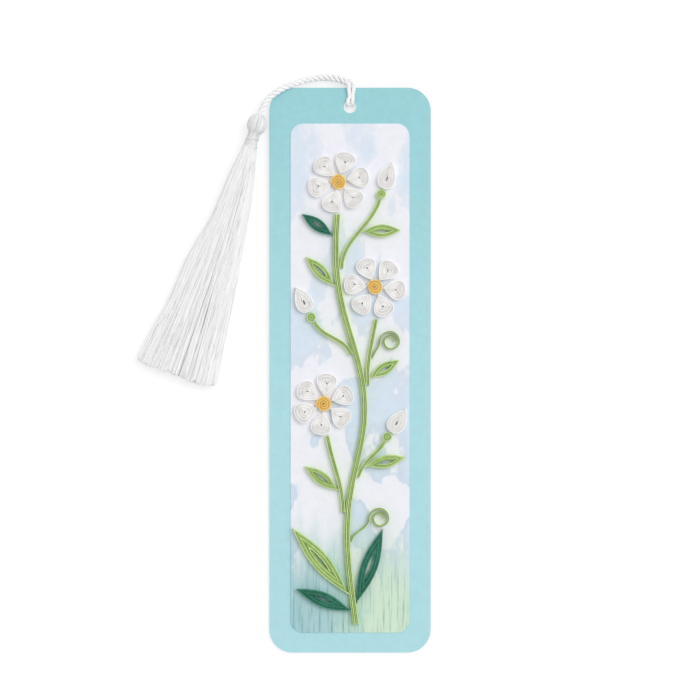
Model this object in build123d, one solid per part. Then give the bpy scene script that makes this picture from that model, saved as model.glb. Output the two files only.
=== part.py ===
import os
from math import asin, atan2, cos, degrees, pi, radians, sin, sqrt, tan

from build123d import *

# Card and panel
card_width = 50.8
card_height = 177.8
card_thickness = 0.8
card_corner_radius = 7.3
hole_diameter = 4.0
hole_to_top_edge = 6.0
panel_side_margin = 6.7
panel_top_margin = 11.3
panel_bottom_margin = 6.3
panel_thickness = 0.25
panel_corner_radius = 4.0

# Quilling paper
strip_height = 1.6
strip_thickness = 0.2
winding_gap = 0.55
winding_steps = 12
core_share = 0.75
glue_clearance = 0.35
stem_strip_thickness = 0.42
stem_strip_gap = 0.1
main_stem_strips = 3
side_stem_strips = 2
branch_angle = 5.0
stem_step = 5.0
tendril_step = 1.2
petal_count = 6
tendril_quarters = 6

# Cord
strand_diameter = 1.05
strand_spacing = 1.15
strand_clearance = 0.04
bight_radius = 1.2
bight_beyond_edge = 1.85
bight_clearance = 0.2
bight_bevel = 0.6
rope_diameter = 2.1
cord_sides = 6
bend_share = 0.45

# Tassel
head_radius = 3.25
head_half_length = 3.6
head_bands = 8
head_sides = 12
knot_radius = 1.5
knot_length = 3.0
knot_clearance = 0.05
knot_bevel = 0.5
head_to_card = 0.5
head_below_top_edge = 11.7
tassel_lean = 18.9
neck_radius = 1.6
neck_length = 2.9
binding_diameter = 0.42
binding_turns = 2.5
binding_gap = 0.46
binding_clearance = 0.03
binding_sides = 4
skirt_length = 75.0
skirt_end_width = 26.0
skirt_end_thickness = 3.4
thread_count = 320
thread_width = 0.34
thread_thickness = 0.11
thread_root_share = 0.36
thread_unevenness = 1.6
root_length = 1.0
root_rim = 0.12
floor_clearance = 0.1

half_width = card_width / 2
half_height = card_height / 2
panel_width = card_width - 2 * panel_side_margin
panel_height = card_height - panel_top_margin - panel_bottom_margin
panel_middle = (panel_bottom_margin - panel_top_margin) / 2
relief_floor = card_thickness + panel_thickness
hole_middle = half_height - hole_to_top_edge
winding_pitch = strip_thickness + winding_gap

# Quilled pieces, sized from the panel
petal_length = 0.19 * panel_width
petal_width = 0.172 * panel_width
centre_radius = 0.062 * panel_width
blossom_radius = centre_radius + glue_clearance + petal_length
bud_length = 0.235 * panel_width
bud_width = 0.15 * panel_width
calyx_radius = 0.04 * panel_width
tendril_radius = 0.09 * panel_width
tendril_pitch = 0.035 * panel_width

os.makedirs("parts", exist_ok=True)
nodes = {}
coil_gaps = []


# Curves

def biarc(start, start_way, end, end_way):
    across = end - start
    both = start_way + end_way
    spread = 2 * (1 - start_way.dot(end_way))
    along = across.dot(both)
    reach = (sqrt(along**2 + spread * across.dot(across)) - along) / spread
    first_knee = start + start_way * reach
    last_knee = end - end_way * reach
    middle = (first_knee + last_knee) * 0.5
    middle_way = (last_knee - first_knee).normalized()
    return [TangentArc(start, middle, tangent=start_way), TangentArc(middle, end, tangent=middle_way)]


def smooth_path(stations):
    edges = []
    for (start, start_way), (end, end_way) in zip(stations, stations[1:]):
        edges += biarc(start, start_way, end, end_way)
    return Wire([edge.edge() for edge in edges])


def heading(angle):
    return Vector(cos(radians(angle)), sin(radians(angle)), 0)


def angle_of(way):
    return degrees(atan2(way.Y, way.X))


def on_panel(share_x, share_y):
    return Vector(share_x * panel_width / 2, panel_middle + share_y * panel_height / 2, 0)


# Wound and bundled paper strips

teardrop_peak = 0.77  # largest value of the sine product below
teardrop_eye = 0.62  # share of the length where the turns close in
middle_eye = 0.5
next_turn_share = 0.7  # of a turn, past which the strip runs beside itself


def teardrop(angle, length, width):
    bulge = sin(angle) * sin(angle / 2) / teardrop_peak
    return length / 2 * (1 - cos(angle)), width / 2 * bulge


def lens(angle, length, width):
    along = angle / pi if angle <= pi else 2 - angle / pi
    return length * along, width / 2 * sin(angle)


def disc(angle, length, width):
    return length / 2 * (1 - cos(angle)), width / 2 * sin(angle)


def winding(shape, length, width, eye_share):
    shrink = winding_pitch / (width / 2)
    last = int(winding_steps * (1 / shrink - core_share))
    eye = eye_share * length
    points = []
    for index in range(last + 1):
        turns = index / winding_steps
        scale = 1 - shrink * turns
        x, y = shape(2 * pi * (turns % 1), length, width)
        points.append(Vector(eye + (x - eye) * scale, y * scale))
    return points


def distance_to_run(point, start, end):
    run = end - start
    share = max(0.0, min(1.0, (point - start).dot(run) / run.dot(run)))
    return (point - start - run * share).length


def self_gap(points, thickness):
    next_turn = int(next_turn_share * winding_steps)
    gaps = []
    for index, point in enumerate(points):
        for other in range(index + next_turn, len(points) - 1):
            gaps.append(distance_to_run(point, points[other], points[other + 1]))
    return min(gaps) - thickness


def strip_outline(points, thickness):
    left, right = [], []
    for index, point in enumerate(points):
        first = points[max(index - 1, 0)]
        last = points[min(index + 1, len(points) - 1)]
        before = (point - first if index else last - point).normalized()
        after = (last - point if last is not point else before).normalized()
        mitre = (before + after) / (1 + before.dot(after))
        normal = Vector(-mitre.Y, mitre.X)
        left.append(point + normal * (thickness / 2))
        right.append(point - normal * (thickness / 2))
    return left + right[::-1]


def paper_strip(points, thickness):
    face = make_face(Polyline(*strip_outline(points, thickness), close=True))
    return Pos(0, 0, relief_floor) * extrude(face, strip_height)


def wound_coil(shape, length, width, eye_share):
    points = winding(shape, length, width, eye_share)
    coil_gaps.append(self_gap(points, strip_thickness))
    return paper_strip(points, strip_thickness)


def placed(shape, point, angle):
    return Pos(point.X, point.Y, 0) * Rot(0, 0, angle) * shape


def strip_along(path, step, shift):
    steps = round(path.length / step)
    points = []
    for index in range(steps + 1):
        way = path % (index / steps)
        points.append(path @ (index / steps) + Vector(-way.Y, way.X, 0) * shift)
    return paper_strip(points, stem_strip_thickness)


def bundle(path, strips):
    pitch = stem_strip_thickness + stem_strip_gap
    shifts = [(index - (strips - 1) / 2) * pitch for index in range(strips)]
    return Compound([strip_along(path, stem_step, shift).solid() for shift in shifts])


def bundle_half_width(strips):
    return (strips * stem_strip_thickness + (strips - 1) * stem_strip_gap) / 2


def flank(path, share, side, clear):
    way = path % share
    point = path @ share
    return point + Vector(-way.Y, way.X, 0) * (side * clear), angle_of(way)


# Card and panel

card = extrude(RectangleRounded(card_width, card_height, card_corner_radius), card_thickness)
card -= Pos(0, hole_middle) * extrude(Circle(hole_diameter / 2), card_thickness)
nodes["card"] = card
panel = RectangleRounded(panel_width, panel_height, panel_corner_radius)
nodes["art_panel"] = Pos(0, panel_middle, card_thickness) * extrude(panel, panel_thickness)

# Main stem, with the top blossom at its end

blossom_places = {"top": (on_panel(-0.19, 0.77), 12)}


def blossom_foot(name, angle):
    middle = blossom_places[name][0]
    return middle + heading(angle) * (blossom_radius + glue_clearance)


main_half = bundle_half_width(main_stem_strips)
side_half = bundle_half_width(side_stem_strips)
stem_paths = {}
stem_paths["main"] = smooth_path([
    (on_panel(0.1, -0.965), heading(97)),
    (on_panel(-0.02, -0.5), heading(84)),
    (on_panel(0.24, -0.08), heading(94)),
    (on_panel(-0.19, 0.36), heading(98)),
    (blossom_foot("top", -92), heading(86)),
])

# Blossoms

# Share along the main stem, side, share of the panel width left free, turn
side_blossoms = {
    "right": (0.81, -1, 0.02, -8),
    "left": (0.54, 1, 0.06, 22),
}
for name, (share, side, free, turn) in side_blossoms.items():
    clear = main_half + free * panel_width + blossom_radius
    blossom_places[name] = (flank(stem_paths["main"], share, side, clear)[0], turn)
petal = wound_coil(teardrop, petal_length, petal_width, teardrop_eye)
centre_coil = Pos(-centre_radius, 0) * wound_coil(disc, 2 * centre_radius, 2 * centre_radius, middle_eye)
for name, (middle, turn) in blossom_places.items():
    for index in range(petal_count):
        angle = turn + index * 360 / petal_count
        root = middle + heading(angle) * (centre_radius + glue_clearance)
        nodes[f"blossom_{name}_petal_{index + 1}"] = placed(petal, root, angle)
    nodes[f"blossom_{name}_centre"] = placed(centre_coil, middle, turn)

# Side stems

# Share along the main stem, side, end point and end heading
side_stems = {
    "right": (0.58, -1, blossom_foot("right", -88), 80),
    "left": (0.27, 1, blossom_foot("left", -84), 100),
    "bud_upper": (0.87, -1, on_panel(0.5, 0.7), 72),
    "bud_middle": (0.66, 1, on_panel(-0.6, 0.22), 118),
    "bud_lower": (0.36, -1, on_panel(0.58, -0.25), 58),
}
for name, (share, side, stop, stop_angle) in side_stems.items():
    clear = main_half + glue_clearance + side_half
    start, way = flank(stem_paths["main"], share, side, clear)
    stem_paths[name] = smooth_path([
        (start, heading(way + branch_angle * side)),
        (stop, heading(stop_angle)),
    ])
for name, path in stem_paths.items():
    nodes[f"stem_{name}"] = bundle(path, main_stem_strips if name == "main" else side_stem_strips)

# Buds

bud_coil = wound_coil(teardrop, bud_length, bud_width, teardrop_eye)
calyx_coil = Pos(-calyx_radius, 0) * wound_coil(disc, 2 * calyx_radius, 2 * calyx_radius, middle_eye)
for name in ("upper", "middle", "lower"):
    path = stem_paths[f"bud_{name}"]
    way = path % 1
    angle = angle_of(way)
    calyx_middle = path @ 1 + way * (glue_clearance + calyx_radius)
    bud_tip = calyx_middle + way * (calyx_radius + glue_clearance + bud_length)
    nodes[f"calyx_{name}"] = placed(calyx_coil, calyx_middle, angle)
    nodes[f"bud_{name}"] = placed(bud_coil, bud_tip, angle + 180)

# Leaves

# Name, stem, share along it, side, angle to it, length by the panel's height, width by its width
leaf_list = [
    ("leaf_1", "main", 0.075, 1, 34, 0.17, 0.145),
    ("leaf_2", "left", 0.3, 1, 44, 0.08, 0.107),
    ("leaf_3", "right", 0.1, -1, 58, 0.068, 0.102),
    ("leaf_4", "main", 0.83, 1, 38, 0.08, 0.107),
    ("leaf_5", "bud_upper", 0.55, -1, 42, 0.074, 0.107),
    ("leaf_6", "bud_lower", 0.3, -1, 40, 0.08, 0.107),
    ("dark_leaf_1", "main", 0.05, -1, 26, 0.155, 0.14),
    ("dark_leaf_2", "main", 0.035, 1, 62, 0.115, 0.123),
    ("dark_leaf_3", "main", 0.95, 1, 58, 0.074, 0.102),
]
for name, stem, share, side, spread, length_share, width_share in leaf_list:
    half = main_half if stem == "main" else side_half
    root, way = flank(stem_paths[stem], share, side, half + glue_clearance)
    leaf = wound_coil(lens, length_share * panel_height, width_share * panel_width, middle_eye)
    nodes[name] = placed(leaf, root, way + side * spread)

# Tendrils

# Name, stem, share along it and middle of the scroll
tendril_list = [
    ("tendril_1", "main", 0.2, on_panel(0.5, -0.55)),
    ("tendril_2", "right", 0.42, on_panel(0.68, 0.145)),
]
for name, stem, share, middle in tendril_list:
    half = main_half if stem == "main" else side_half
    clear = half + glue_clearance + stem_strip_thickness / 2
    start, way = flank(stem_paths[stem], share, -1, clear)
    stations = [(start, heading(way - branch_angle))]
    for quarter in range(tendril_quarters + 1):
        angle = 180 - 90 * quarter
        radius = tendril_radius - tendril_pitch * quarter / 4
        stations.append((middle + heading(angle) * radius, heading(angle - 90)))
    nodes[name] = strip_along(smooth_path(stations), tendril_step, 0)

# Cord hitch through the hole and over the top edge


def swept_cord(path, diameter, sides):
    section = Plane(path @ 0, z_dir=path % 0) * RegularPolygon(diameter / 2, sides)
    return sweep(section, path)


turn_radius = (card_thickness + strand_diameter) / 2 + strand_clearance
turn_middle = hole_middle + sqrt(hole_diameter**2 - strand_spacing**2) / 2 + 2 * strand_clearance
leg_end = half_height + bight_beyond_edge - bight_radius - bight_clearance
front_height = card_thickness / 2 + turn_radius
back_height = card_thickness / 2 - turn_radius
strand_path = Wire([
    Line((0, leg_end, front_height), (0, turn_middle, front_height)).edge(),
    ThreePointArc(
        (0, turn_middle, front_height),
        (0, turn_middle - turn_radius, card_thickness / 2),
        (0, turn_middle, back_height),
    ).edge(),
    Line((0, turn_middle, back_height), (0, leg_end, back_height)).edge(),
])
strand = swept_cord(strand_path, strand_diameter, cord_sides)
nodes["cord_hitch"] = Compound([Pos(side * strand_spacing / 2) * strand.solid() for side in (-1, 1)])

# The card lies with its top end on the strands behind it

lie_angle = degrees(asin((strand_diameter + strand_clearance) / (half_height + turn_middle)))
lie = Pos(0, -half_height) * Rot(lie_angle, 0, 0) * Pos(0, half_height)
for name in nodes:
    nodes[name] = lie * nodes[name]

# Bight and rope

bight_middle = (lie * Pos(0, half_height + bight_beyond_edge, card_thickness / 2)).position
bight = Pos(0, 0, -bight_radius) * extrude(RegularPolygon(bight_radius, cord_sides), 2 * bight_radius)
bight_rims = bight.faces().filter_by(Axis.Z).edges()
nodes["cord_bight"] = Pos(bight_middle) * chamfer(bight_rims, bight_bevel)


def corner_radii(points):
    ways = [end - start for start, end in zip(points, points[1:])]
    radii = []
    for before, after in zip(ways, ways[1:]):
        half_turn = radians(before.get_angle(after)) / 2
        radii.append(bend_share * min(before.length, after.length) / tan(half_turn))
    return radii


# Share of the card's half width, rise over its top edge and height
rope_points = [
    (-0.054, 2.25, 1.5),
    (-0.256, 3.85, 1.2),
    (-0.551, 3.05, 1.12),
    (-0.831, 1.4, 1.15),
    (-1.039, -2.6, 1.9),
    (-1.11, -7.9, 3.1),
]
rope_route = []
for share, rise, height in rope_points:
    rope_route.append(Vector(share * half_width, half_height + rise, height))
rope_radii = corner_radii(rope_route)
rope_path = FilletPolyline(*rope_route, radius=rope_radii)
nodes["cord_rope"] = swept_cord(rope_path, rope_diameter, cord_sides)

# Tassel: x runs from the head to the cut ends

head_middle = Vector(
    -half_width - head_to_card - head_radius,
    half_height - head_below_top_edge,
    head_radius + floor_clearance,
)
skirt_start = head_half_length + neck_length
skirt_end = skirt_start + skirt_length
end_height = skirt_end_thickness / 2 + floor_clearance
tassel_dip = degrees(asin((head_middle.Z - end_height) / skirt_end))
tassel_place = Pos(head_middle) * Rot(0, 0, -90 - tassel_lean) * Rot(0, tassel_dip, 0)


def prism(radius, start, end):
    return Pos(start) * Rot(0, 90, 0) * extrude(RegularPolygon(radius, head_sides), end - start)


rings = []
for band in range(head_bands):
    angle = pi * (band + 0.5) / head_bands
    ring = RegularPolygon(head_radius * sin(angle), head_sides)
    rings.append(Pos(-head_half_length * cos(angle)) * Rot(0, 90, 0) * ring)
head = loft(rings, ruled=True) + prism(neck_radius, 0, skirt_start)
room_half = knot_length / 2 + knot_clearance
head -= prism(knot_radius + knot_clearance, -room_half, room_half)
nodes["tassel_head"] = tassel_place * head
knot = prism(knot_radius, -knot_length / 2, knot_length / 2)
nodes["cord_knot"] = tassel_place * chamfer(knot.faces().filter_by(Axis.X).edges(), knot_bevel)

binding_radius = neck_radius + binding_clearance + binding_diameter / 2
binding_pitch = binding_diameter + binding_gap
binding_start = skirt_start - (neck_length + binding_turns * binding_pitch) / 2
rise = binding_pitch / (2 * pi * binding_radius)
stations = []
for quarter in range(int(4 * binding_turns) + 1):
    angle = quarter * pi / 2
    along = binding_start + quarter / 4 * binding_pitch
    point = Vector(along, binding_radius * cos(angle), binding_radius * sin(angle))
    stations.append((point, Vector(rise, -sin(angle), cos(angle)).normalized()))
nodes["neck_binding"] = tassel_place * swept_cord(smooth_path(stations), binding_diameter, binding_sides)


def thread(start, end):
    half_thread = Vector(0, thread_width / 2, thread_thickness / 2)
    corners = [(-1, -1), (1, -1), (0, 1)]
    rings = []
    for middle, size in ((start, half_thread * thread_root_share), (end, half_thread)):
        rings.append([middle + Vector(0, y * size.Y, z * size.Z) for y, z in corners])
    faces = [Face(Wire.make_polygon(ring)) for ring in rings]
    for index in range(len(corners)):
        after = (index + 1) % len(corners)
        side = [rings[0][index], rings[0][after], rings[1][after], rings[1][index]]
        faces.append(Face(Wire.make_polygon(side)))
    return Solid(Shell(faces))


golden_turn = pi * (3 - sqrt(5))
bundle_radius = neck_radius - root_rim
threads = []
for index in range(thread_count):
    reach = sqrt((index + 0.5) / thread_count)
    across = reach * cos(index * golden_turn)
    up = reach * sin(index * golden_turn)
    cut = thread_unevenness * (index * golden_turn % 1)
    start = Vector(skirt_start + root_length / 2, across * bundle_radius, up * bundle_radius)
    end = Vector(skirt_end - cut, across * skirt_end_width / 2, up * skirt_end_thickness / 2)
    threads.append(thread(start, end))
root = prism(neck_radius, skirt_start, skirt_start + root_length)
nodes["tassel_skirt"] = tassel_place * root.fuse(*threads)

for name, shape in nodes.items():
    export_step(shape, f"parts/{name}.step")

print("Nodes:", len(nodes))
print("Least gap in the wound strips, mm:", round(min(coil_gaps), 2))
print("Binding gap, mm:", round(binding_pitch - binding_diameter, 2))
print("Rope radii, mm:", [round(radius, 1) for radius in rope_radii])
section_area = cord_sides / 2 * (rope_diameter / 2) ** 2 * sin(2 * pi / cord_sides)
section_volume = section_area * rope_path.length
print("Rope length, mm:", round(rope_path.length, 2))
print("Rope volume against section times length:", round(nodes["cord_rope"].volume / section_volume, 4))
print("Tendril gap, mm:", round(tendril_pitch - stem_strip_thickness, 2))
print("Lie angle, degrees:", round(lie_angle, 3), "bight:", bight_middle, "head:", head_middle)
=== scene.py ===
import math
import random

import bmesh
import bpy
from mathutils import Matrix, Vector


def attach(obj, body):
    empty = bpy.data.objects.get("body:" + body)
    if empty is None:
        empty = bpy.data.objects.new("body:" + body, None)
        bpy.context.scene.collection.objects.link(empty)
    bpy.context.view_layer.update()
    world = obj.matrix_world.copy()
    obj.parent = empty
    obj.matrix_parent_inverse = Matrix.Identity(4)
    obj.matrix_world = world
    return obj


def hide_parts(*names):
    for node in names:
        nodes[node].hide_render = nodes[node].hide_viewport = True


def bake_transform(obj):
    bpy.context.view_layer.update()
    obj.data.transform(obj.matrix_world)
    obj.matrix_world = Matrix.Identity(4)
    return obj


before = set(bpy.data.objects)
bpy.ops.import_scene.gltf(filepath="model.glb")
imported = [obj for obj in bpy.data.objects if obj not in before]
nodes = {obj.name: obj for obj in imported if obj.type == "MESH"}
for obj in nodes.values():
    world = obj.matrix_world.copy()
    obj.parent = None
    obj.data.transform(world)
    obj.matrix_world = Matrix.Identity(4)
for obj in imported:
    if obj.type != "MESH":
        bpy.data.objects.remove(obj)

scene = bpy.context.scene
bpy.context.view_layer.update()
mm = 0.001
print("frame:", len(nodes), "nodes")


# small helpers

def tint(red, green, blue):
    steps = [value / 255 for value in (red, green, blue)]  # sRGB, made linear below
    return (*[((step + 0.055) / 1.055) ** 2.4 if step > 0.04 else step / 12.92 for step in steps], 1)


def points3d(rows):
    return [Vector(row) * mm for row in rows]


def polar(middle, reach, degrees):
    angle = math.radians(degrees)
    return middle[0] + reach * math.cos(angle), middle[1] + reach * math.sin(angle)


def addPiece(name, mesh, material, body, replaced=()):
    piece = bpy.data.objects.new(name, mesh)
    scene.collection.objects.link(piece)
    mesh.materials.clear()
    mesh.materials.append(material)
    if body:
        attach(piece, body)
    if replaced:
        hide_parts(*replaced)
    return piece


def bakeCurve(curve):
    carrier = bpy.data.objects.new("carrier", curve)
    scene.collection.objects.link(carrier)
    solved = carrier.evaluated_get(bpy.context.evaluated_depsgraph_get())
    mesh = bpy.data.meshes.new_from_object(solved)
    bpy.data.objects.remove(carrier)
    bpy.data.curves.remove(curve)
    return mesh


def readCurve(curve):
    mesh = bakeCurve(curve)
    line = [vertex.co.copy() for vertex in mesh.vertices]
    bpy.data.meshes.remove(mesh)
    return line


def nurbsCurve(routes, resolution, radius=0.0, sides=0):
    curve = bpy.data.curves.new("route", "CURVE")
    curve.dimensions = "3D"
    curve.resolution_u = resolution
    curve.bevel_depth = radius
    curve.bevel_resolution = sides
    curve.use_fill_caps = radius > 0
    for route in routes:
        spline = curve.splines.new("NURBS")
        spline.points.add(len(route) - 1)
        for point, place in zip(spline.points, route):
            point.co = (*place, 1)
        spline.order_u = 3
        spline.use_endpoint_u = True
    return curve


def readRoute(route, resolution=24):
    return readCurve(nurbsCurve([route], resolution))


def lineLength(line):
    return sum((after - before).length for before, after in zip(line, line[1:]))


def wayAt(line, index):
    return (line[min(index + 1, len(line) - 1)] - line[max(index - 1, 0)]).normalized()


sideOn = Vector((1, 0.01, 0.02))  # no route starts out this way
closeTwist = (0.0, 1.0)  # share by which plies stand apart at the start, and how far that goes


def twistPlies(line, plies, offset, pitch, startAngle=0.0, loose=closeTwist):
    extra, reach = loose
    across = sideOn
    travelled = 0.0
    strands = [[] for ply in range(plies)]
    for index, place in enumerate(line):
        way = wayAt(line, index)
        across = (across - way * across.dot(way)).normalized()
        if index:
            travelled += (place - line[index - 1]).length
        arm = across * offset * (1 + extra * max(0, 1 - travelled / reach))
        for ply, strand in enumerate(strands):
            angle = startAngle + 2 * math.pi * (ply / plies + travelled / pitch)
            strand.append(place + Matrix.Rotation(angle, 3, way) @ arm)
    return strands


def paintTone(mesh, pieceTones):
    perPiece = len(mesh.vertices) // len(pieceTones)
    tones = [value for tone in pieceTones for value in [tone] * perPiece]
    mesh.attributes.new("threadTone", "FLOAT", "POINT").data.foreach_set("value", tones)


def randomTones(count, seed):
    chance = random.Random(seed)
    return [chance.random() for piece in range(count)]


# materials

def newMaterial(name):
    material = bpy.data.materials.new(name)
    material.use_nodes = True
    tree = material.node_tree
    return material, tree, tree.nodes["Principled BSDF"]


def feed(tree, socket, value):
    if isinstance(value, bpy.types.NodeSocket):
        tree.links.new(value, socket)
    else:
        socket.default_value = value


def addNode(tree, kind, inputs=None, **settings):
    node = tree.nodes.new(kind)
    for key, value in settings.items():
        setattr(node, key, value)
    for key, value in (inputs or {}).items():
        feed(tree, node.inputs[key], value)
    return node


def mixColour(tree, factor, first, second, blend="MIX"):
    inputs = {0: factor, 6: first, 7: second}  # the factor and the two colours
    return addNode(tree, "ShaderNodeMix", inputs, data_type="RGBA", blend_type=blend).outputs[2]


def mapRange(tree, value, low, high, toLow=0.0, toHigh=1.0, smooth=True):
    kind = "SMOOTHSTEP" if smooth else "LINEAR"
    inputs = {"Value": value, "From Min": low, "From Max": high, "To Min": toLow, "To Max": toHigh}
    return addNode(tree, "ShaderNodeMapRange", inputs, interpolation_type=kind).outputs["Result"]


def noise(tree, vector, scale, detail=3.0, rough=0.5):
    inputs = {"Vector": vector, "Scale": scale, "Detail": detail, "Roughness": rough}
    return addNode(tree, "ShaderNodeTexNoise", inputs).outputs["Fac"]


def stretchedNoise(tree, vector, stretch, detail, rough):
    mapped = addNode(tree, "ShaderNodeMapping", {"Vector": vector, "Scale": stretch})
    return noise(tree, mapped.outputs["Vector"], 1, detail, rough)


def arithmetic(tree, operation, *values):
    return addNode(tree, "ShaderNodeMath", dict(enumerate(values)), operation=operation).outputs[0]


def bumpNormal(tree, height, strength, distance):
    inputs = {"Height": height, "Strength": strength, "Distance": distance}
    return addNode(tree, "ShaderNodeBump", inputs).outputs["Normal"]


def newGroup(name, inputs, outputs):
    group = bpy.data.node_groups.new(name, "ShaderNodeTree")
    for title in inputs:
        kind = "NodeSocketVector" if title == "Vector" else "NodeSocketFloat"
        group.interface.new_socket(title, in_out="INPUT", socket_type=kind)
    for title in outputs:
        group.interface.new_socket(title, in_out="OUTPUT", socket_type="NodeSocketFloat")
    given = group.nodes.new("NodeGroupInput").outputs
    result = group.nodes.new("NodeGroupOutput").inputs
    return group, given, result


def placeGroup(tree, group, inputs):
    return addNode(tree, "ShaderNodeGroup", inputs, node_tree=group).outputs


paperGrain = {  # scale or stretch, detail and roughness of each noise
    "pulp": (420, 4, 0.6),
    "fibre": ((2600, 600, 2600), 2, 0.5),
    "tooth": (5200, 2, 0.5),
    "fibreShare": 0.45,
    "toothShare": 0.5,
    "tones": (0.4, 1.0),
}


def makePaperGroup():
    group, given, result = newGroup("paperFibre", ["Vector"], ["Tone", "Height"])
    pulp = noise(group, given["Vector"], *paperGrain["pulp"])
    fibre = stretchedNoise(group, given["Vector"], *paperGrain["fibre"])
    tooth = noise(group, given["Vector"], *paperGrain["tooth"])
    tone = arithmetic(group, "MULTIPLY_ADD", fibre, paperGrain["fibreShare"], pulp)
    height = arithmetic(group, "MULTIPLY_ADD", tooth, paperGrain["toothShare"], fibre)
    feed(group, result["Tone"], tone)
    feed(group, result["Height"], height)
    return group


paperFibre = makePaperGroup()


def paperNodes(tree):
    coords = addNode(tree, "ShaderNodeTexCoord").outputs["Object"]
    fibre = placeGroup(tree, paperFibre, {"Vector": coords})
    return coords, fibre["Tone"], fibre["Height"]


cardPaper = {
    "top": tint(150, 206, 212),
    "bottom": tint(171, 217, 224),
    "fade": (-5 * mm, 135 * mm),
    "clouds": (18, 2),
    "cloudShift": 50 * mm,
    "shade": (0.955, 1.03),
    "roughness": (0.62, 0.78),
    "bump": (0.12, 0.06 * mm),
}


def makeCardPaper():
    material, tree, shader = newMaterial("aquaCardPaper")
    coords, tone, height = paperNodes(tree)
    upright = addNode(tree, "ShaderNodeSeparateXYZ", {"Vector": coords}).outputs["Y"]
    clouds = noise(tree, coords, *cardPaper["clouds"])
    drift = arithmetic(tree, "MULTIPLY_ADD", clouds, cardPaper["cloudShift"], upright)
    fade = mapRange(tree, drift, *cardPaper["fade"])
    plain = mixColour(tree, fade, cardPaper["bottom"], cardPaper["top"])
    shade = mapRange(tree, tone, *paperGrain["tones"], *cardPaper["shade"])
    roughness = mapRange(tree, tone, *paperGrain["tones"], *cardPaper["roughness"])
    feed(tree, shader.inputs["Base Color"], mixColour(tree, 1.0, plain, shade, "MULTIPLY"))
    feed(tree, shader.inputs["Roughness"], roughness)
    feed(tree, shader.inputs["Normal"], bumpNormal(tree, height, *cardPaper["bump"]))
    return material


washPaper = {
    "sky": tint(236, 237, 244),
    "haze": tint(212, 226, 240),
    "edge": tint(196, 212, 230),
    "pool": tint(150, 196, 198),
    "meadow": tint(200, 226, 196),
    "brush": tint(78, 142, 146),
    "bottomEdge": -82.6 * mm,
    "height": 160.2 * mm,
    "blots": ((62, 40, 60), 4, 0.55),
    "blotEdge": (0.5, 0.53),
    "blotInner": (0.53, 0.6),
    "blotFade": (1.0, 0.1, 0.25, 0.9),
    "hazeShare": 0.75,
    "ragged": ((150, 30, 60), 4, 0.6),
    "raggedShare": 0.22,
    "ground": (0.36, 0.17, 0.0, 0.85),
    "sides": (70, 3),
    "sideShift": 20 * mm,
    "sideFade": (2 * mm, 18 * mm),
    "strokes": ((1500, 70, 60), 3, 0.6),
    "strokeTones": (0.47, 0.76),
    "strokeFade": (0.32, 0.14, 0.0, 0.7),
    "shade": (0.965, 1.02),
    "roughness": 0.8,
    "bump": (0.2, 0.08 * mm),
}


def makeWashPaper():
    material, tree, shader = newMaterial("watercolourPanel")
    coords, tone, height = paperNodes(tree)
    parts = addNode(tree, "ShaderNodeSeparateXYZ", {"Vector": coords}).outputs
    low = washPaper["bottomEdge"]
    rise = mapRange(tree, parts["Y"], low, low + washPaper["height"], smooth=False)

    blots = stretchedNoise(tree, coords, *washPaper["blots"])
    lower = mapRange(tree, rise, *washPaper["blotFade"])
    edge = arithmetic(tree, "MULTIPLY", mapRange(tree, blots, *washPaper["blotEdge"]), lower)
    inner = mapRange(tree, blots, *washPaper["blotInner"])
    inner = arithmetic(tree, "MULTIPLY", inner, washPaper["hazeShare"])
    colour = mixColour(tree, edge, washPaper["sky"], washPaper["edge"])
    colour = mixColour(tree, inner, colour, washPaper["haze"])

    ragged = stretchedNoise(tree, coords, *washPaper["ragged"])
    ragged = arithmetic(tree, "MULTIPLY_ADD", ragged, washPaper["raggedShare"], rise)
    sides = noise(tree, coords, *washPaper["sides"])
    sides = arithmetic(tree, "MULTIPLY_ADD", sides, washPaper["sideShift"], parts["X"])
    sides = mapRange(tree, sides, *washPaper["sideFade"])
    meadow = mixColour(tree, sides, washPaper["pool"], washPaper["meadow"])
    colour = mixColour(tree, mapRange(tree, ragged, *washPaper["ground"]), colour, meadow)

    strokes = stretchedNoise(tree, coords, *washPaper["strokes"])
    strokes = mapRange(tree, strokes, *washPaper["strokeTones"])
    strokes = arithmetic(tree, "MULTIPLY", strokes, mapRange(tree, ragged, *washPaper["strokeFade"]))
    colour = mixColour(tree, strokes, colour, washPaper["brush"])

    shade = mapRange(tree, tone, *paperGrain["tones"], *washPaper["shade"])
    feed(tree, shader.inputs["Base Color"], mixColour(tree, 1.0, colour, shade, "MULTIPLY"))
    feed(tree, shader.inputs["Roughness"], washPaper["roughness"])
    feed(tree, shader.inputs["Normal"], bumpNormal(tree, height, *washPaper["bump"]))
    return material


quillPaper = {
    "shade": (0.45, 0.95, 0.0, 0.35),
    "foot": (2.4 * mm, 1.0 * mm, 0.0, 0.5),  # painted shade, darker towards the glued edge
    "roughness": (0.6, 0.82),
    "bump": (0.25, 0.05 * mm),
}


def makeQuillGroup():
    group, given, result = newGroup("quillShade", ["Vector", "Tone", "Strip"], ["Shade"])
    depth = addNode(group, "ShaderNodeSeparateXYZ", {"Vector": given["Vector"]}).outputs["Z"]
    # painted shade: each strip darkens by height towards its glued foot, as in the depth between
    # windings
    foot = mapRange(group, depth, *quillPaper["foot"])
    shade = mapRange(group, given["Tone"], *quillPaper["shade"])
    shade = arithmetic(group, "ADD", shade, given["Strip"])
    feed(group, result["Shade"], arithmetic(group, "MAXIMUM", shade, foot))
    return group


quillShade = makeQuillGroup()


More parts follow.
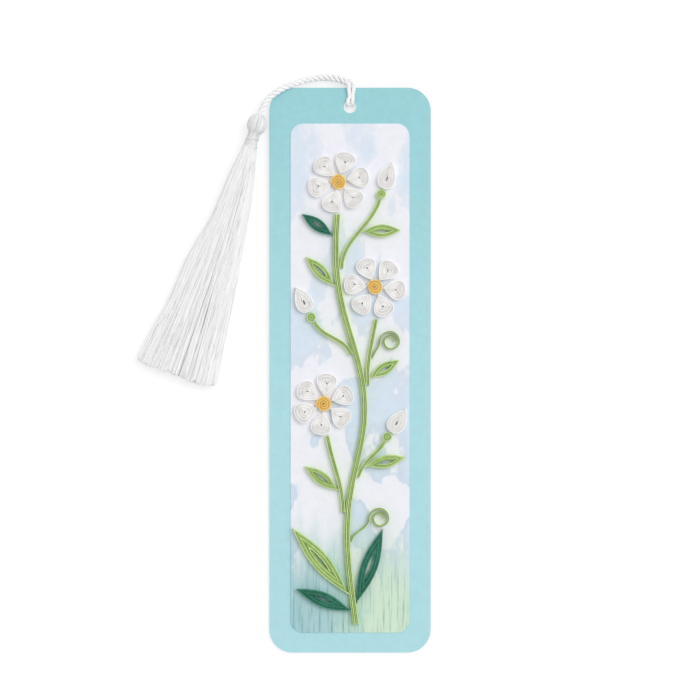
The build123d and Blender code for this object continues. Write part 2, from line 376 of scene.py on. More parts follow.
def makeQuillPaper(name, pale, deep):
    material, tree, shader = newMaterial(name)
    coords, tone, height = paperNodes(tree)
    strip = addNode(tree, "ShaderNodeAttribute", attribute_name="stripTone").outputs["Fac"]
    shade = placeGroup(tree, quillShade, {"Vector": coords, "Tone": tone, "Strip": strip})["Shade"]
    roughness = mapRange(tree, tone, *paperGrain["tones"], *quillPaper["roughness"])
    feed(tree, shader.inputs["Base Color"], mixColour(tree, shade, pale, deep))
    feed(tree, shader.inputs["Roughness"], roughness)
    feed(tree, shader.inputs["Normal"], bumpNormal(tree, height, *quillPaper["bump"]))
    return material


flossFlecks = {  # shaded flecks along the threads of the tassel
    "share": 0.4,
    "heading": math.radians(-108.9),  # that of the tassel
    "size": (6.0 * mm, 0.4 * mm, 0.4 * mm),
    "grain": (1, 2),
    "between": (0.55, 0.75),
    "specular": 1.0,
}


def addFlecks(tree, coords, tone):
    heading = (0, 0, flossFlecks["heading"])
    inputs = {"Vector": coords, "Rotation": heading, "Scale": flossFlecks["size"]}
    streaks = addNode(tree, "ShaderNodeMapping", inputs, vector_type="TEXTURE").outputs["Vector"]
    flecks = noise(tree, streaks, *flossFlecks["grain"])
    flecks = mapRange(tree, flecks, *flossFlecks["between"], 0.0, flossFlecks["share"])
    return arithmetic(tree, "ADD", tone, flecks)


threadLook = {
    "slubs": (900, 2),
    "ownTone": 0.85,
    "roughness": (-0.06, 0.1),  # from the value that each thread is given
    "fuzz": (9000, 2),
    "bump": (0.2, 0.04 * mm),
    "sheenRoughness": 0.4,
}


def makeThreadGroup():
    inputs = ["Vector", "Own Tone", "Slub Share"]
    group, given, result = newGroup("threadFibre", inputs, ["Tone", "Height"])
    ownTone = arithmetic(group, "MULTIPLY", given["Own Tone"], threadLook["ownTone"])
    slubs = noise(group, given["Vector"], *threadLook["slubs"])
    fuzz = noise(group, given["Vector"], *threadLook["fuzz"])
    feed(group, result["Tone"], arithmetic(group, "MULTIPLY_ADD", slubs, given["Slub Share"], ownTone))
    feed(group, result["Height"], fuzz)
    return group


threadFibre = makeThreadGroup()


def makeThread(name, pale, deep, roughness, sheen, slubShare=0.3, flecked=False):
    material, tree, shader = newMaterial(name)
    coords = addNode(tree, "ShaderNodeTexCoord").outputs["Object"]
    ownTone = addNode(tree, "ShaderNodeAttribute", attribute_name="threadTone").outputs["Fac"]
    inputs = {"Vector": coords, "Own Tone": ownTone, "Slub Share": slubShare}
    fibre = placeGroup(tree, threadFibre, inputs)
    tone = fibre["Tone"]
    if flecked:
        tone = addFlecks(tree, coords, tone)
        feed(tree, shader.inputs["Specular IOR Level"], flossFlecks["specular"])
    smoothest, roughest = [roughness + change for change in threadLook["roughness"]]
    feed(tree, shader.inputs["Base Color"], mixColour(tree, tone, pale, deep))
    feed(tree, shader.inputs["Roughness"], mapRange(tree, tone, 0.0, 1.0, smoothest, roughest))
    feed(tree, shader.inputs["Normal"], bumpNormal(tree, fibre["Height"], *threadLook["bump"]))
    feed(tree, shader.inputs["Sheen Weight"], sheen)
    feed(tree, shader.inputs["Sheen Roughness"], threadLook["sheenRoughness"])
    return material


aquaCard = makeCardPaper()
artWash = makeWashPaper()
whiteQuill = makeQuillPaper("whiteQuillPaper", tint(254, 253, 251), tint(238, 235, 232))
goldQuill = makeQuillPaper("goldQuillPaper", tint(254, 222, 128), tint(226, 168, 72))
lightGreenQuill = makeQuillPaper("lightGreenQuillPaper", tint(206, 229, 152), tint(138, 176, 86))
darkGreenQuill = makeQuillPaper("darkGreenQuillPaper", tint(50, 142, 112), tint(20, 86, 68))
whiteCord = makeThread("whiteTwistedCord", tint(255, 255, 255), tint(243, 243, 245),
                       roughness=0.42, sheen=0.2)
whiteFloss = makeThread("whiteFloss", tint(255, 255, 255), tint(176, 178, 181),
                        roughness=0.5, sheen=0.4, slubShare=0.02, flecked=True)
# a greyer copy of the white floss for the head and the neck wraps: its grey is painted shade
greyFloss = makeThread("shadedFloss", tint(250, 250, 250), tint(214, 215, 218),
                       roughness=0.45, sheen=0.2)
print("materials:", len(bpy.data.materials))


# camera straight above, at the photograph's scale

view = {
    "millimetresPerPixel": 0.3147,
    "pixels": 700,
    "middle": (0.0, 6.39),
    "height": 1.5,  # where the scale holds
    "lens": 150.0,
    "sensor": 36.0,
    "clip": (0.01, 20),
}


def makeCamera():
    data = bpy.data.cameras.new("topCamera")
    data.lens = view["lens"]
    data.sensor_width = view["sensor"]
    data.clip_start, data.clip_end = view["clip"]
    width = view["millimetresPerPixel"] * view["pixels"] * mm
    distance = width * view["lens"] / view["sensor"]
    x, y = view["middle"]
    camera = bpy.data.objects.new("topCamera", data)
    camera.location = (x * mm, y * mm, distance + view["height"] * mm)
    scene.collection.objects.link(camera)
    scene.camera = camera


makeCamera()
print("camera set")


# rope from the bight to the tassel head

rope = {
    "route": [  # out of the hitch, along the top edge and over the card's corner
        (-0.5, 90.65, 1.65),
        (-2.2, 91.35, 1.6),
        (-6.2, 92.3, 1.3),
        (-10.8, 92.1, 1.2),
        (-15.5, 90.9, 2.0),
        (-20.5, 89.05, 3.1),
        (-24.7, 86.4, 3.25),
        (-27.1, 83.3, 3.4),
        (-28.0, 80.9, 3.4),
        (-28.5, 79.2, 3.4),
    ],
    "diameter": 2.1,
    "length": 34.0,
    "plies": 3,
    "plyOffset": 0.52,
    "plyPitch": 5.2,
    "loose": (0.45, 12.0 * mm),
    "yarns": 5,
    "yarnOffset": 0.31,
    "yarnPitch": -3.1,
    "yarnRadius": 0.22,
}


def makeRope():
    line = readRoute(points3d(rope["route"]))
    plies = twistPlies(line, rope["plies"], rope["plyOffset"] * mm, rope["plyPitch"] * mm,
                       loose=rope["loose"])
    yarns = []
    for ply in plies:
        yarns += twistPlies(ply, rope["yarns"], rope["yarnOffset"] * mm, rope["yarnPitch"] * mm)
    mesh = bakeCurve(nurbsCurve(yarns, resolution=1, radius=rope["yarnRadius"] * mm, sides=1))
    paintTone(mesh, randomTones(len(yarns), seed=5))
    piece = addPiece("ropeStrands", mesh, whiteCord, "rope", ["cord_rope"])
    print("rope:", len(mesh.polygons), "faces, length", round(lineLength(line) / mm, 2), "mm")


makeRope()


# the card lies with its top end on the cord behind it

lieAngle = math.radians(0.359)
cardFoot = -88.9 * mm
foot = Matrix.Translation((0, cardFoot, 0))
lie = foot @ Matrix.Rotation(lieAngle, 4, "X") @ foot.inverted()


def dressNode(name, material):
    node = nodes[name]
    if not node.material_slots:
        node.data.materials.append(material)
    for slot in node.material_slots:
        slot.material = material


dressNode("card", aquaCard)
dressNode("art_panel", artWash)
print("card and panel dressed")


# strips of paper on edge

wallClamp = 0.55


def chainStrip(bm, line, height, tones):
    layer = bm.verts.layers.float.get("stripTone") or bm.verts.layers.float.new("stripTone")
    last = bm.verts.new(line[0])
    last[layer] = tones[0]
    chain = []
    for place, tone in zip(line[1:], tones[1:]):
        grown = bmesh.ops.extrude_vert_indiv(bm, verts=[last])
        last = grown["verts"][0]
        last.co = place
        last[layer] = tone
        chain += grown["edges"]
    walls = bmesh.ops.extrude_edge_only(bm, edges=chain)["geom"]
    rim = [item for item in walls if isinstance(item, bmesh.types.BMVert)]
    bmesh.ops.translate(bm, verts=rim, vec=(0, 0, height))


def finishStrip(bm, name, material, paper):
    bmesh.ops.transform(bm, matrix=lie, verts=bm.verts[:])
    mesh = bpy.data.meshes.new(name)
    bm.to_mesh(mesh)
    bm.free()
    piece = addPiece("paper_" + name, mesh, material, "card", [name])
    wall = piece.modifiers.new("paperThickness", "SOLIDIFY")
    wall.thickness = paper
    wall.offset = 0
    wall.use_even_offset = True
    wall.thickness_clamp = wallClamp


stems = {
    "floor": 1.05,
    "height": 1.6,
    "step": 0.06,  # by which every other strip is lower
    "stepTone": 0.5,
    "gap": 0.17,
    "handle": 0.37,
    "strips": {  # count, pitch and steps of the line
        "main": (4, 0.5, 14),
        "side": (3, 0.46, 14),
        "tendril": (2, 0.34, 10),
    },
    "stations": {  # place and heading
        "main": [
            (1.87, -79.8, 97),
            (-0.37, -42.55, 84),
            (4.49, -8.91, 94),
            (-3.55, 26.34, 98),
            (-3.91, 49.06, 86),
        ],
        "right": [(5.6, -4.54, 92.6), (8.21, 16.02, 80)],
        "left": [(-2.12, -44.58, 90.4), (-7.13, -20.64, 100)],
        "bud_upper": [(-2.6, 32.2, 88.8), (9.35, 53.57, 72)],
        "bud_middle": [(0.38, 5.01, 111.7), (-11.22, 15.12, 118)],
        "bud_lower": [(2.59, -33.38, 73.7), (10.85, -22.52, 58)],
    },
    "tendrils": {  # first station, and middle of the scroll
        "tendril_1": ((0.47, -53.8, 86.5), (9.35, -46.55)),
        "tendril_2": ((7.08, 4.01, 76.4), (12.72, 9.11)),
    },
    "scroll": (3.366, 1.309, 6),  # radius, pitch and quarter turns
}


def readBezier(stations, resolution):
    curve = bpy.data.curves.new("stemLine", "CURVE")
    curve.dimensions = "3D"
    curve.resolution_u = resolution
    spline = curve.splines.new("BEZIER")
    spline.bezier_points.add(len(stations) - 1)
    places = [Vector((x, y, 0)) for x, y, heading in stations]
    for index, (point, (x, y, heading)) in enumerate(zip(spline.bezier_points, stations)):
        way = Vector((*polar((0, 0), 1, heading), 0)) * stems["handle"]
        before = (places[index] - places[max(index - 1, 0)]).length
        after = (places[min(index + 1, len(places) - 1)] - places[index]).length
        point.handle_left_type = point.handle_right_type = "FREE"
        point.co = places[index]
        point.handle_left = places[index] - way * before
        point.handle_right = places[index] + way * after
    return readCurve(curve)


def makeStem(name, stations, strips, pitch, resolution):
    line = readBezier(stations, resolution)
    bm = bmesh.new()
    for strip in range(strips):
        shift = (strip - (strips - 1) / 2) * pitch
        moved = []
        for index, place in enumerate(line):
            way = wayAt(line, index)
            aside = Vector((-way.y, way.x, 0)) * shift
            moved.append((place + aside + Vector((0, 0, stems["floor"]))) * mm)
        height = stems["height"] - stems["step"] * (strip % 2)
        chainStrip(bm, moved, height * mm, [stems["stepTone"] * (strip % 2)] * len(moved))
    finishStrip(bm, name, lightGreenQuill, (pitch - stems["gap"]) * mm)


def makeStems():
    strips = stems["strips"]
    for name, stations in stems["stations"].items():
        makeStem("stem_" + name, stations, *strips["main" if name == "main" else "side"])
    radius, pitch, quarters = stems["scroll"]
    for name, (start, middle) in stems["tendrils"].items():
        stations = [start]
        for quarter in range(quarters + 1):
            angle = 180 - 90 * quarter
            reach = radius - pitch * quarter / 4
            stations.append((*polar(middle, reach, angle), angle - 90))
        makeStem(name, stations, *strips["tendril"])
    print("stems and tendrils made")


makeStems()


# wound paper coils

coil = {
    "pitch": 0.42,
    "paper": 0.34,
    "height": 1.6,
    "uneven": (-0.05, 0.06),
    "floor": 1.05,
    "steps": 56,
    "spacing": 0.2,
    "wander": 0.06,
    "wanderRate": 2.1,
    "phases": (0, 6.28),
    "mostTurns": 20,
    "turnTone": 0.55,
    "ownTone": (0, 0.25),
}
teardropPeak = 0.77  # largest value of the product below


def teardrop(angle):
    return (1 - math.cos(angle)) / 2, math.sin(angle) * math.sin(angle / 2) / teardropPeak


def lens(angle):
    share = angle / math.pi
    return (share if share <= 1 else 2 - share), math.sin(angle)


def disc(angle):
    return (1 - math.cos(angle)) / 2, math.sin(angle)


# slope of the near and the far tip by width over length, and the width left open in the middle
coilShapes = {teardrop: (1.3, None, 0.5), lens: (1.57, 1.57, 1.1), disc: (None, None, 0.4)}


def windLine(chance, shape, length, width):
    phase = chance.uniform(*coil["phases"])
    shades = []
    for turn in range(coil["mostTurns"]):
        shades.append(coil["turnTone"] * (turn % 2) + chance.uniform(*coil["ownTone"]))
    line, tones = [], []
    *slopes, core = coilShapes[shape]
    tips = [side * coil["steps"] // 2 for side, slope in enumerate(slopes) if slope]
    start, index, lastTip, closed = 0.0, 0, 0, False
    while not closed:
        turn = index / coil["steps"]
        along, across = shape(2 * math.pi * (turn % 1))
        point = Vector((start + along * length, across * width / 2, 0))
        isTip = index % coil["steps"] in tips
        while isTip and len(line) > lastTip + 1 and (line[-1] - point).length < coil["spacing"]:
            line.pop()
            tones.pop()
        if isTip or not line or (line[-1] - point).length > coil["spacing"]:
            line.append(point)
            tones.append(shades[int(turn)])
            lastTip = len(line) - 1 if isTip else lastTip
        closed = min(width, length) <= core and (isTip or not slopes[1])
        pitch = coil["pitch"] * (1 + coil["wander"] * math.sin(coil["wanderRate"] * turn + phase))
        shifts = []
        for slope in slopes:  # strips that meet at a tip are apart by a pitch too
            shifts.append(pitch * math.hypot(1, length / (slope * width)) if slope else pitch)
        start += shifts[0] / coil["steps"]
        length -= sum(shifts) / coil["steps"]
        width -= 2 * pitch / coil["steps"]
        index += 1
    return line, tones


def windCoil(name, shape, length, width, place, angle, material, slotName, seed):
    chance = random.Random(seed)
    line, tones = windLine(chance, shape, length, width)
    spot = Matrix.Translation((place[0] * mm, place[1] * mm, coil["floor"] * mm))
    turned = spot @ Matrix.Rotation(math.radians(angle), 4, "Z") @ Matrix.Scale(mm, 4)
    height = coil["height"] + chance.uniform(*coil["uneven"])
    bm = bmesh.new()
    chainStrip(bm, [turned @ point for point in line], height * mm, tones)
    finishStrip(bm, name, material, coil["paper"] * mm)


blossoms = {
    "petals": 6,
    "petal": (7.11, 6.43),
    "centre": 2.32,
    "glue": 0.35,
    "places": {"top": (-3.55, 59.18, 12), "right": (7.86, 26.14, -8), "left": (-8.18, -10.57, 22)},
    "petalSeeds": 10,  # for each blossom
    "centreSeed": 90,
}


def makeBlossoms():
    radius = blossoms["centre"]
    for number, (name, (x, y, turn)) in enumerate(blossoms["places"].items()):
        for index in range(blossoms["petals"]):
            angle = turn + index * 360 / blossoms["petals"]
            root = polar((x, y), radius + blossoms["glue"], angle)
            windCoil(f"blossom_{name}_petal_{index + 1}", teardrop, *blossoms["petal"], root, angle,
                     whiteQuill, "white_paper", blossoms["petalSeeds"] * number + index)
        edge = polar((x, y), -radius, turn)
        windCoil(f"blossom_{name}_centre", disc, 2 * radius, 2 * radius, edge, turn,
                 goldQuill, "gold_paper", blossoms["centreSeed"] + number)


makeBlossoms()

buds = {
    "size": (8.79, 5.61),
    "calyx": 1.5,
    "places": {  # calyx middle, bud tip, heading
        "upper": ((9.92, 55.33), (13.21, 65.44), 72.0),
        "middle": ((-12.09, 16.75), (-17.09, 26.14), 118.1),
        "lower": ((11.82, -20.96), (17.46, -11.94), 58.0),
    },
    "budSeed": 50,
    "calyxSeed": 60,
}


def makeBuds():
    radius = buds["calyx"]
    for number, (name, (middle, tip, angle)) in enumerate(buds["places"].items()):
        windCoil(f"bud_{name}", teardrop, *buds["size"], tip, angle + 180,
                 whiteQuill, "white_paper", buds["budSeed"] + number)
        edge = polar(middle, -radius, angle)
        windCoil(f"calyx_{name}", disc, 2 * radius, 2 * radius, edge, angle,
                 lightGreenQuill, "light_green_paper", buds["calyxSeed"] + number)


makeBuds()

leaves = {  # root, heading, length, width
    "leaf_1": ((-0.37, -70.2), 130.7, 27.23, 5.42),
    "leaf_2": ((-3.67, -37.43), 145.3, 12.82, 4.0),
    "leaf_3": ((6.37, -2.46), 32.0, 10.89, 3.81),
    "leaf_4": ((-4.7, 26.76), 135.6, 12.82, 4.0),
    "leaf_5": ((4.09, 43.47), 2.9, 11.85, 4.0),
    "leaf_6": ((5.08, -30.19), 13.1, 12.82, 4.0),
    "dark_leaf_1": ((2.16, -73.19), 70.8, 24.83, 5.24),
    "dark_leaf_2": ((0.25, -75.39), 158.8, 18.42, 4.6),
    "dark_leaf_3": ((-5.32, 42.57), 146.2, 11.85, 3.81),
}
leafSeed = 70


def makeLeaves():
    for number, (name, (root, angle, length, width)) in enumerate(leaves.items()):
        dark = name.startswith("dark")
        windCoil(name, lens, length, width, root, angle,
                 darkGreenQuill if dark else lightGreenQuill,
                 "dark_green_paper" if dark else "light_green_paper", leafSeed + number)


makeLeaves()
print("coils wound")


# cord hitch through the hole, and the bight above the edge

hitch = {
    "hole": (-0.72, 0.8),
    "waist": (-0.17, 0.87),
    "middle": (-0.52, 0.68),
    "edge": (-0.4, 1.15),
    "front": 1.44,
    "frontEdge": 1.55,
    "back": -0.5,
    "turn": (1.25, -0.45),  # heights in the hole
    "plies": 3,
    "plyRadius": 0.33,
    "plyOffset": 0.3,
    "pitch": 2.9,
    "loose": (0.4, 3.5 * mm),
    "overlap": 0.4,
}


def twistStrands(lines, starts, looseness):
    strands = []
    for index, (line, start, loose) in enumerate(zip(lines, starts, looseness)):
        pitch = hitch["pitch"] * mm * (-1) ** index
        phase = 2 * math.pi * start / pitch
        strands += twistPlies(line, hitch["plies"], hitch["plyOffset"] * mm, pitch, phase, loose)
    mesh = bakeCurve(nurbsCurve(strands, resolution=2, radius=hitch["plyRadius"] * mm, sides=2))
    paintTone(mesh, randomTones(len(strands), seed=8))
    return mesh


def hitchRoute(hole, waist, middle, edge):
    front, frontEdge, back = hitch["front"], hitch["frontEdge"], hitch["back"]
    turnFront, turnBack = hitch["turn"]
    return [
        (edge, 89.2, frontEdge),
        (edge, 88.4, frontEdge),
        (waist, 86.6, front),
        (waist, 85.7, front),
        (hole, 84.9, front),
        (hole, 83.5, turnFront),
        (hole, 83.5, turnBack),
        (hole, 84.9, back),
        (middle, 86.4, back),
        (middle, 88.0, back),
        (edge, 89.3, back),
    ]


def makeHitch():
    lines = []
    for sides in zip(hitch["hole"], hitch["waist"], hitch["middle"], hitch["edge"]):
        lines.append(readRoute([lie @ place for place in points3d(hitchRoute(*sides))]))
    mesh = twistStrands(lines, [0, 0], [hitch["loose"]] * 2)
    addPiece("hitchStrands", mesh, whiteCord, "card", ["cord_hitch"])
    print("hitch:", len(mesh.polygons), "faces")
    return [lineLength(line) for line in lines]


hitchLengths = makeHitch()

bight = {
    "routes": [  # two strands in front and two behind, turning over the edge
        [(-0.4, 88.8, 2.66), (-0.4, 89.2, 2.67), (-0.55, 90.0, 2.6),
         (-1.0, 90.7, 2.3), (-1.7, 91.2, 1.7), (-0.8, 90.9, 1.1)],
        [(1.15, 88.8, 2.66), (1.15, 89.2, 2.67), (1.0, 90.2, 2.6),
         (0.2, 91.2, 2.4), (-1.2, 91.7, 1.8), (-1.0, 90.9, 1.2)],
        [(-0.4, 88.9, 0.61), (-0.4, 89.3, 0.62), (-0.6, 90.0, 0.75),
         (-0.9, 90.7, 1.1), (-0.3, 91.0, 1.5)],
        [(1.15, 88.9, 0.61), (1.15, 89.3, 0.62), (1.05, 90.2, 0.75),
         (0.5, 91.0, 1.1), (-0.3, 91.2, 1.5)],
    ],
    "steps": 10,
    "bendFrom": 89.0,
    "bendTo": 90.6,
    "bendHeight": 1.5,
}


def makeBight():
    overlap = hitch["overlap"] * mm
    starts = [-overlap, -overlap, *[length - overlap for length in hitchLengths]]
    opened = (hitch["loose"][0], math.inf)
    lines = [readRoute(points3d(route), bight["steps"]) for route in bight["routes"]]
    mesh = twistStrands(lines, starts, [opened, opened, closeTwist, closeTwist])
    piece = addPiece("bightStrands", mesh, whiteCord, None, ["cord_bight"])
    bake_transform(piece)
    print("bight:", len(mesh.polygons), "faces")


makeBight()


# tassel, made with x from the head to the cut ends

tassel = {"middle": (-29.15, 77.2, 3.35), "lean": 18.9, "dip": 1.09}  # middle of the head, angles
tasselPlace = (Matrix.Translation(Vector(tassel["middle"]) * mm)
               @ Matrix.Rotation(math.radians(-90 - tassel["lean"]), 4, "Z")
               @ Matrix.Rotation(math.radians(tassel["dip"]), 4, "Y"))


def tasselCurve(routes, resolution, radius, sides):
    placed = [[tasselPlace @ place for place in points3d(route)] for route in routes]
    return bakeCurve(nurbsCurve(placed, resolution, radius * mm, sides))


neck = {"radius": 1.75, "end": 5.9}

head = {
    "radius": 3.2,
    "half": 3.5,
    "ribs": 34,
    "ribThreads": 5,
    "ribRadius": 0.28,
    "threadRadius": 0.11,
    "turnOff": (-0.03, 0.03),
    "twist": (-0.05, 0.12),
    "proud": (-0.3, -0.08),
    "angles": (12, 18.5),  # the first along a rib, and the step
    "steps": 8,
    "neckFrom": 7,
    "leastReach": 0.5,
    "coreInset": (0.1, 0.25, 0.25),
    "seed": 21,
}


def headRoute(turn, twist, aside, rise):
    first, each = head["angles"]
    route = []
    for step in range(head["steps"] + 1):
        angle = math.radians(first + each * step)
        least = neck["radius"] if step >= head["neckFrom"] else head["leastReach"]
        reach = max(head["radius"] * math.sin(angle) + rise, least)
        around = turn + twist * step / head["steps"] + aside / head["radius"]
        x = -head["half"] * math.cos(angle)
        route.append((x, reach * math.cos(around), reach * math.sin(around)))
    route.append((neck["end"], neck["radius"] * math.cos(around), neck["radius"] * math.sin(around)))
    return route


def makeHead():
    chance = random.Random(head["seed"])
    routes = []
    for rib in range(head["ribs"]):
        turn = 2 * math.pi * rib / head["ribs"] + chance.uniform(*head["turnOff"])
        twist = chance.uniform(*head["twist"])
        proud = chance.uniform(*head["proud"])
        for strand in range(head["ribThreads"]):
            lean = math.pi * ((strand + 0.5) / head["ribThreads"] - 0.5)
            aside = head["ribRadius"] * math.sin(lean)
            rise = head["ribRadius"] * (math.cos(lean) - 1) + proud
            routes.append(headRoute(turn, twist, aside, rise))
    mesh = tasselCurve(routes, resolution=3, radius=head["threadRadius"], sides=0)
    paintTone(mesh, randomTones(len(routes), seed=11))
    outer = (head["half"], head["radius"], head["radius"])
    size = [(reach - inset) * mm for reach, inset in zip(outer, head["coreInset"])]
    bm = bmesh.new()
    bm.from_mesh(mesh)
    core = bmesh.ops.create_uvsphere(bm, u_segments=24, v_segments=14, radius=1.0)["verts"]
    bmesh.ops.transform(bm, matrix=tasselPlace @ Matrix.Diagonal((*size, 1)), verts=core)
    bm.to_mesh(mesh)
    bm.free()
    addPiece("tasselHead", mesh, greyFloss, "tassel", ["tassel_head", "cord_knot"])
    print("head:", len(mesh.polygons), "faces")


skirt = {
    "from": 5.6,
    "end": 83.5,
    "halfWidth": 13.0,
    "halfDepth": 1.6,
    "opening": 0.95,
    "drift": (1.2, 12.0),  # of the middle to the side, and over what length
    "threads": 1500,
    "threadRadius": 0.095,
    "along": (0, 0.03, 0.1, 0.2, 0.3, 0.4, 0.5, 0.6, 0.7, 0.8, 0.9, 1),
    "ragged": 1.0,
    "rounded": 1.4,  # by which the outermost threads are shorter
    "settle": 5,  # the waves are whole after a fifth of the thread
    "ripple": (0.02, 0.12),
    "rippleRates": (13, 11),
    "rippleDepth": 0.4,
    "edgeWave": (0.7, 0.33, 0.4),  # on the left: reach, place of the crest, length
    "edgeFrom": 0.6,
    "full": (0.6, 0.75),  # on the right: reach, and the power that places it
    "inner": (2, 5),  # so many threads of each so many lie inside
    "innerLayer": (0.3, 0.8),
    "outerLayer": (0.86, 1.0),
    "strays": 0.07,
    "strayLayer": 1.04,
    "strayOff": (-0.11, 0.11),
    "tone": 0.05,
    "innerTone": 0.02,
    "strayTone": (0, 0.5),
    "seed": 33,
}


def skirtWidth(x):
    share = max(x - skirt["from"], 0) / (skirt["end"] - skirt["from"])
    opening = share ** skirt["opening"]
    wide = neck["radius"] * (1 - opening) + skirt["halfWidth"] * opening
    deep = neck["radius"] * (1 - opening) + skirt["halfDepth"] * opening
    return wide, deep


def skirtMiddle(x):
    reach, over = skirt["drift"]
    return reach * (1 - math.exp(-max(x - skirt["from"], 0) / over))


locks = {
    "count": 30,
    "width": (0.45, 1.55),
    "bow": (-0.16, 0.16),
    "short": 1.3,
    "tight": (0.02, 0.2),
    "gather": (0.5, 1.0),
    "tone": 0.03,
    "border": (0.011, 0.4),  # its width, and the most of a lock's half
}


def makeLocks(chance):
    widths = [chance.uniform(*locks["width"]) for lock in range(locks["count"])]
    made, edge = [], -1.0
    for width in widths:
        half = width / sum(widths)
        made.append({
            "middle": edge + half,
            "half": half,
            "bow": chance.uniform(*locks["bow"]),
            "short": locks["short"] * chance.random() ** 2,
            "tight": chance.uniform(*locks["tight"]),
            "tone": locks["tone"] * chance.random(),
            "shade": chance.random() ** 2,
        })
        edge += 2 * half
    return made


def threadSway(share, y, bow, ripple, phase):
    settled = min(1, skirt["settle"] * share)
    swell, crest, length = skirt["edgeWave"]
    swell *= max(0, -y - skirt["edgeFrom"]) / (1 - skirt["edgeFrom"])
    full, power = skirt["full"]
    sway = bow * math.sin(math.pi * share)
    sway += ripple * math.sin(skirt["rippleRates"][0] * share + phase) * settled
    sway += swell * math.cos(2 * math.pi * (share - crest) / length) * settled
    sway += full * max(0, y) * math.sin(math.pi * share ** power)
    return sway


def threadLayer(chance, inner, stray):
    if inner:
        return chance.uniform(*skirt["innerLayer"])
    return skirt["strayLayer"] if stray else chance.uniform(*skirt["outerLayer"])


def threadShade(chance, inner, stray, lock, aside):
    if inner:
        return skirt["innerTone"]
    if stray:
        return chance.uniform(*skirt["strayTone"])
    border, most = locks["border"]
    return lock["shade"] * (1 - abs(aside) < min(border / lock["half"], most))


def makeSkirt():
    chance = random.Random(skirt["seed"])
    made = makeLocks(chance)
    innerOf, each = skirt["inner"]
    routes, tones = [], []
    for index in range(skirt["threads"]):
        y = 2 * (index + 0.5) / skirt["threads"] - 1
        inner = index % each < innerOf
        stray = not inner and chance.random() < skirt["strays"]
        off = chance.uniform(*skirt["strayOff"]) if stray else 0
        z = (-1, 1)[index % 2] * threadLayer(chance, inner, stray) * math.sqrt(1 - y * y)
        lock = min(made, key=lambda item: abs(y - item["middle"]) - item["half"])
        aside = (y - lock["middle"]) / lock["half"]
        if not inner:
            off -= aside * lock["half"] * lock["tight"] * chance.uniform(*locks["gather"])
        stop = skirt["end"] - skirt["rounded"] * y ** 4 - lock["short"]
        stop -= skirt["ragged"] * chance.random() ** 2
        ripple = chance.uniform(*skirt["ripple"])
        phase = chance.uniform(0, 2 * math.pi)
        route = []
        for share in skirt["along"]:
            x = skirt["from"] + (stop - skirt["from"]) * share
            wide, deep = skirtWidth(x)
            sway = skirtMiddle(x) + threadSway(share, y, lock["bow"], ripple, phase)
            bob = skirt["rippleDepth"] * ripple * math.cos(skirt["rippleRates"][1] * share + phase)
            route.append((x, (y + off * share) * wide + sway, z * deep + bob))
        routes.append(route)
        shade = threadShade(chance, inner, stray, lock, aside)
        tones.append(skirt["tone"] * chance.random() + lock["tone"] + shade)
    mesh = tasselCurve(routes, resolution=1, radius=skirt["threadRadius"], sides=0)
    paintTone(mesh, tones)
    addPiece("tasselSkirt", mesh, whiteFloss, "tassel", ["tassel_skirt"])
    print("skirt:", len(routes), "threads,", len(mesh.polygons), "faces")


binding = {
    "wraps": 1.5,
    "wrapSteps": 16,
    "strands": 4,
    "radius": 0.17,
    "from": 3.7,
    "to": 7.7,
    "proud": 0.14,
    "tuck": 0.4,
}


def bindingRoute(hand, strand):
    steps = int(binding["wraps"] * binding["wrapSteps"])
    route = []
    for step in range(steps + 1):
        around = 2 * math.pi * (hand * step / binding["wrapSteps"] + strand / binding["strands"])
        x = binding["from"] + (binding["to"] - binding["from"]) * step / steps
        wide, deep = skirtWidth(x)
        proud = binding["proud"] if 0 < step < steps else -binding["tuck"]
        across = skirtMiddle(x) + (wide + proud) * math.cos(around)
        route.append((x, across, (deep + proud) * math.sin(around)))
    return route


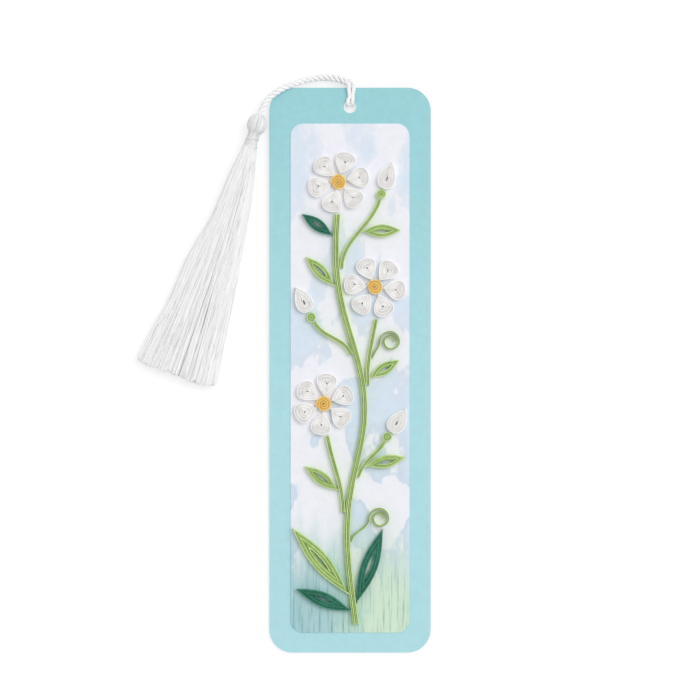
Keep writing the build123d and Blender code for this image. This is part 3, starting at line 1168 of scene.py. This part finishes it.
def makeBinding():
    routes = [bindingRoute(hand, strand) for hand in (-1, 1) for strand in range(binding["strands"])]
    mesh = tasselCurve(routes, resolution=2, radius=binding["radius"], sides=1)
    paintTone(mesh, randomTones(len(routes), seed=12))
    addPiece("neckWraps", mesh, greyFloss, "tassel", ["neck_binding"])
    print("binding:", len(mesh.polygons), "faces")


makeHead()
makeBinding()
makeSkirt()


# floor, light and background

studio = {
    "world": 0.68,
    "sun": 1.3,
    "sunAngle": 40.0,
    "sunFrom": (28.0, 18.0),
    "floorHalf": 1.5,
    "floorHeight": -0.2 * mm,
    "floorRoughness": 0.9,
    "floor": 0.94,  # as the light meets it
    "seen": 0.32,  # as the camera sees it, with the lift added
    "lift": 0.69,
}


def makeFloor():
    bm = bmesh.new()
    bmesh.ops.create_grid(bm, x_segments=1, y_segments=1, size=studio["floorHalf"])
    mesh = bpy.data.meshes.new("paleFloor")
    bm.to_mesh(mesh)
    bm.free()
    floor = bpy.data.objects.new("paleFloor", mesh)
    floor.location = (0, 0, studio["floorHeight"])
    scene.collection.objects.link(floor)
    material, tree, shader = newMaterial("paleFloorPaint")
    rays = addNode(tree, "ShaderNodeLightPath").outputs["Is Camera Ray"]
    lift = arithmetic(tree, "MULTIPLY", rays, studio["lift"])
    paint = mapRange(tree, rays, 0, 1, studio["floor"], studio["seen"], smooth=False)
    feed(tree, shader.inputs["Roughness"], studio["floorRoughness"])
    feed(tree, shader.inputs["Emission Color"], (1, 1, 1, 1))
    feed(tree, shader.inputs["Emission Strength"], lift)
    feed(tree, shader.inputs["Base Color"], paint)
    mesh.materials.append(material)


def makeLight():
    world = bpy.data.worlds.new("studioWorld")
    world.use_nodes = True
    background = world.node_tree.nodes["Background"]
    background.inputs["Color"].default_value = (1, 1, 1, 1)
    background.inputs["Strength"].default_value = studio["world"]
    scene.world = world
    lamp = bpy.data.lights.new("softKey", "SUN")
    lamp.energy = studio["sun"]
    lamp.angle = math.radians(studio["sunAngle"])
    key = bpy.data.objects.new("softKey", lamp)
    aside, forward = studio["sunFrom"]
    key.rotation_euler = (math.radians(-forward), math.radians(aside), 0)
    scene.collection.objects.link(key)
    scene.view_settings.view_transform = "Standard"


makeFloor()
makeLight()
print("studio lit")
